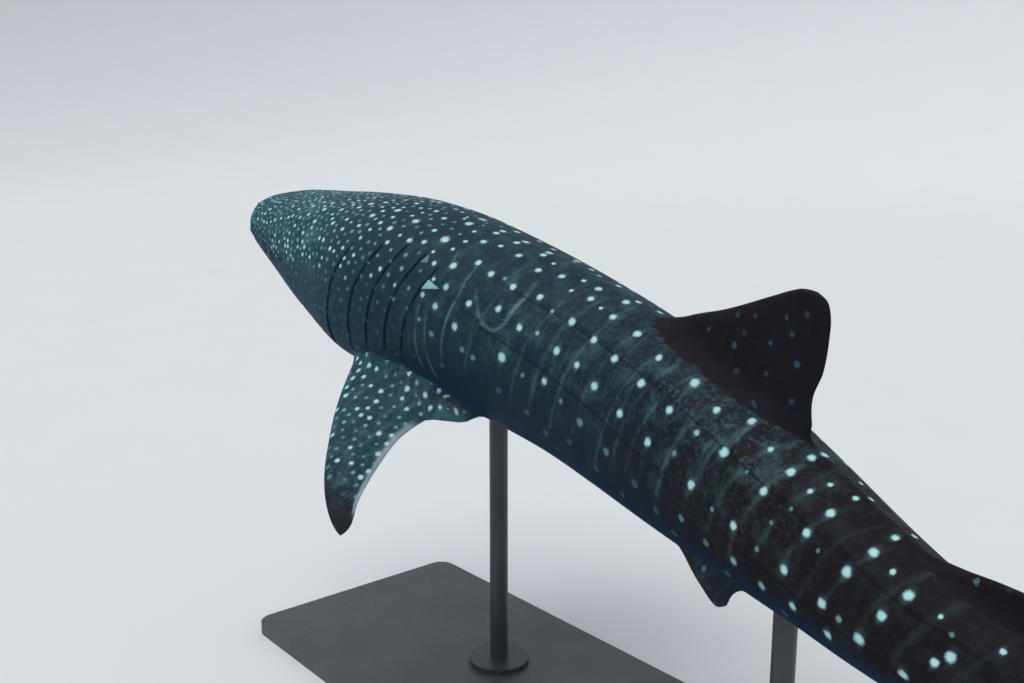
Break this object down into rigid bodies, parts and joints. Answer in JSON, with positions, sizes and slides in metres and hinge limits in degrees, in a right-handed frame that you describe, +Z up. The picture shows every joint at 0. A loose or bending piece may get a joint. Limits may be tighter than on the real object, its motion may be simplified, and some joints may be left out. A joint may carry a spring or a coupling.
{
  "type": "whale shark",
  "caption": "Life-size still model of a young whale shark, spotted and ridged, swimming nose up with its tail bent, on a plain stand with a flat base and rods.",
  "frame": {"origin": "centre of the underside of the stand's base", "axes": "+Z up; the head looks along -X and the tail lies towards +X; the shark's left side faces -Y"},
  "size_m": [5.9638, 1.9924, 2.2238],
  "materials": {
    "skin": "dark slate with pale spots and bars, pale belly",
    "eye": "gloss",
    "stand": "satin dark grey"
  },
  "bodies": {
    "root": {"anal_fin": "skin", "caudal_lower": "skin", "caudal_upper": "skin", "dorsal_first": "skin", "dorsal_second": "skin", "eye_left": "eye", "eye_right": "eye", "head": "skin", "pectoral_left": "skin", "pectoral_right": "skin", "pelvic_left": "skin", "pelvic_right": "skin", "stand_base": "stand", "stand_rod_front": "stand", "stand_rod_rear": "stand", "tail_stalk": "skin", "trunk_front": "skin", "trunk_rear": "skin"}
  },
  "joints": []
}
